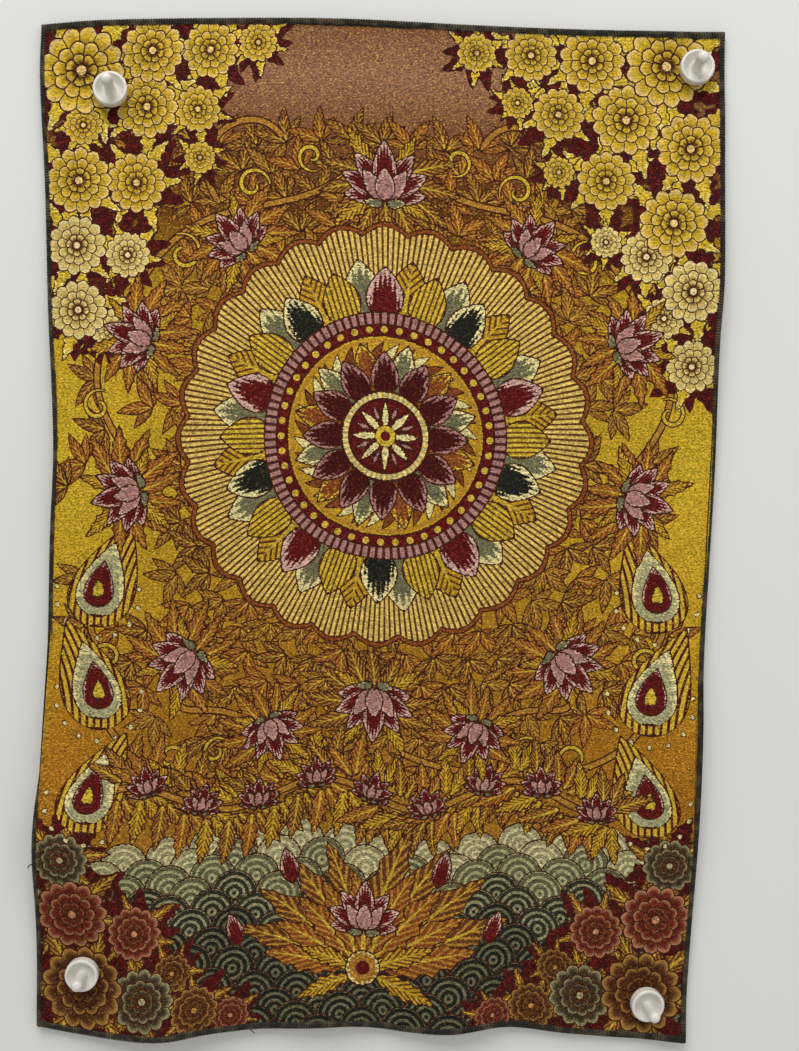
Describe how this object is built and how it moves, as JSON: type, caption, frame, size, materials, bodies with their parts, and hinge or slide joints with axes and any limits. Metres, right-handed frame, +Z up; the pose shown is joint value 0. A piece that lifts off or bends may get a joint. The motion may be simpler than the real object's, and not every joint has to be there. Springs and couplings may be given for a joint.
{
  "type": "woven thangka wall hanging with push pins",
  "caption": "Small metallic brocade panel with overlocked edges and a wavy lower hem, held to a wall by white push pins.",
  "frame": {"origin": "middle of the cloth's top edge, on the face of the wall that it is pinned to", "axes": "+X right across the cloth as seen from the front, +Y into the wall, +Z up. The cloth faces -Y."},
  "size_m": [0.2057, 0.0218, 0.3052],
  "materials": {
    "brocade": "jacquard weave with metallic gold weft",
    "edging_thread": "overlocked dark thread",
    "pin_plastic": "satin moulded",
    "needle_steel": "drawn wire"
  },
  "bodies": {
    "root": {"cloth_panel": "brocade", "edging_top": "edging_thread", "edging_bottom": "edging_thread", "edging_left": "edging_thread", "edging_right": "edging_thread", "pin_top_left": "pin_plastic", "pin_top_right": "pin_plastic", "pin_bottom_left": "pin_plastic", "pin_bottom_right": "pin_plastic", "needle_top_left": "needle_steel", "needle_top_right": "needle_steel", "needle_bottom_left": "needle_steel", "needle_bottom_right": "needle_steel"}
  },
  "joints": []
}
